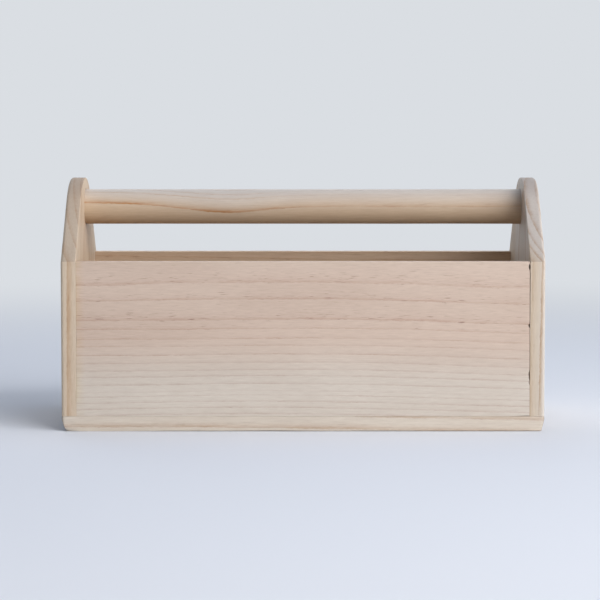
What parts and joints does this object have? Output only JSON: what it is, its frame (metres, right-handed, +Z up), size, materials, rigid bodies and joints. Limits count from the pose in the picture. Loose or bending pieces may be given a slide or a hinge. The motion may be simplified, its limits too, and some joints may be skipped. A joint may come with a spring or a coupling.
{
  "type": "open tool tote",
  "caption": "Open pine tool tote: flat bottom board, long front and back walls, house-shaped ends with rounded tops, and a thick round handle between the ends.",
  "frame": {"origin": "centre of the underside of the bottom board, on the surface that the tote rests on", "axes": "+X along the tote's length, +Z up, and the front wall faces -Y"},
  "size_m": [0.32, 0.15, 0.1668],
  "materials": {
    "bottom_pine": "bare planed pine, matte",
    "left_end_pine": "bare planed pine, matte",
    "right_end_pine": "bare planed pine, matte",
    "front_pine": "bare planed pine, matte",
    "back_pine": "bare planed pine, matte",
    "handle_pine": "bare planed pine, matte",
    "screw_steel": "zinc plated, satin",
    "pin_steel": "bright wire, satin"
  },
  "bodies": {
    "root": {"bottom_board": "bottom_pine", "left_end_panel": "left_end_pine", "right_end_panel": "right_end_pine", "front_panel": "front_pine", "back_panel": "back_pine", "handle_dowel": "handle_pine", "left_handle_screw": "screw_steel", "right_handle_screw": "screw_steel", "front_left_corner_pins": "pin_steel", "front_right_corner_pins": "pin_steel", "back_left_corner_pins": "pin_steel", "back_right_corner_pins": "pin_steel", "bottom_to_front_pins": "pin_steel", "bottom_to_back_pins": "pin_steel", "bottom_to_left_end_pins": "pin_steel", "bottom_to_right_end_pins": "pin_steel"}
  },
  "joints": []
}
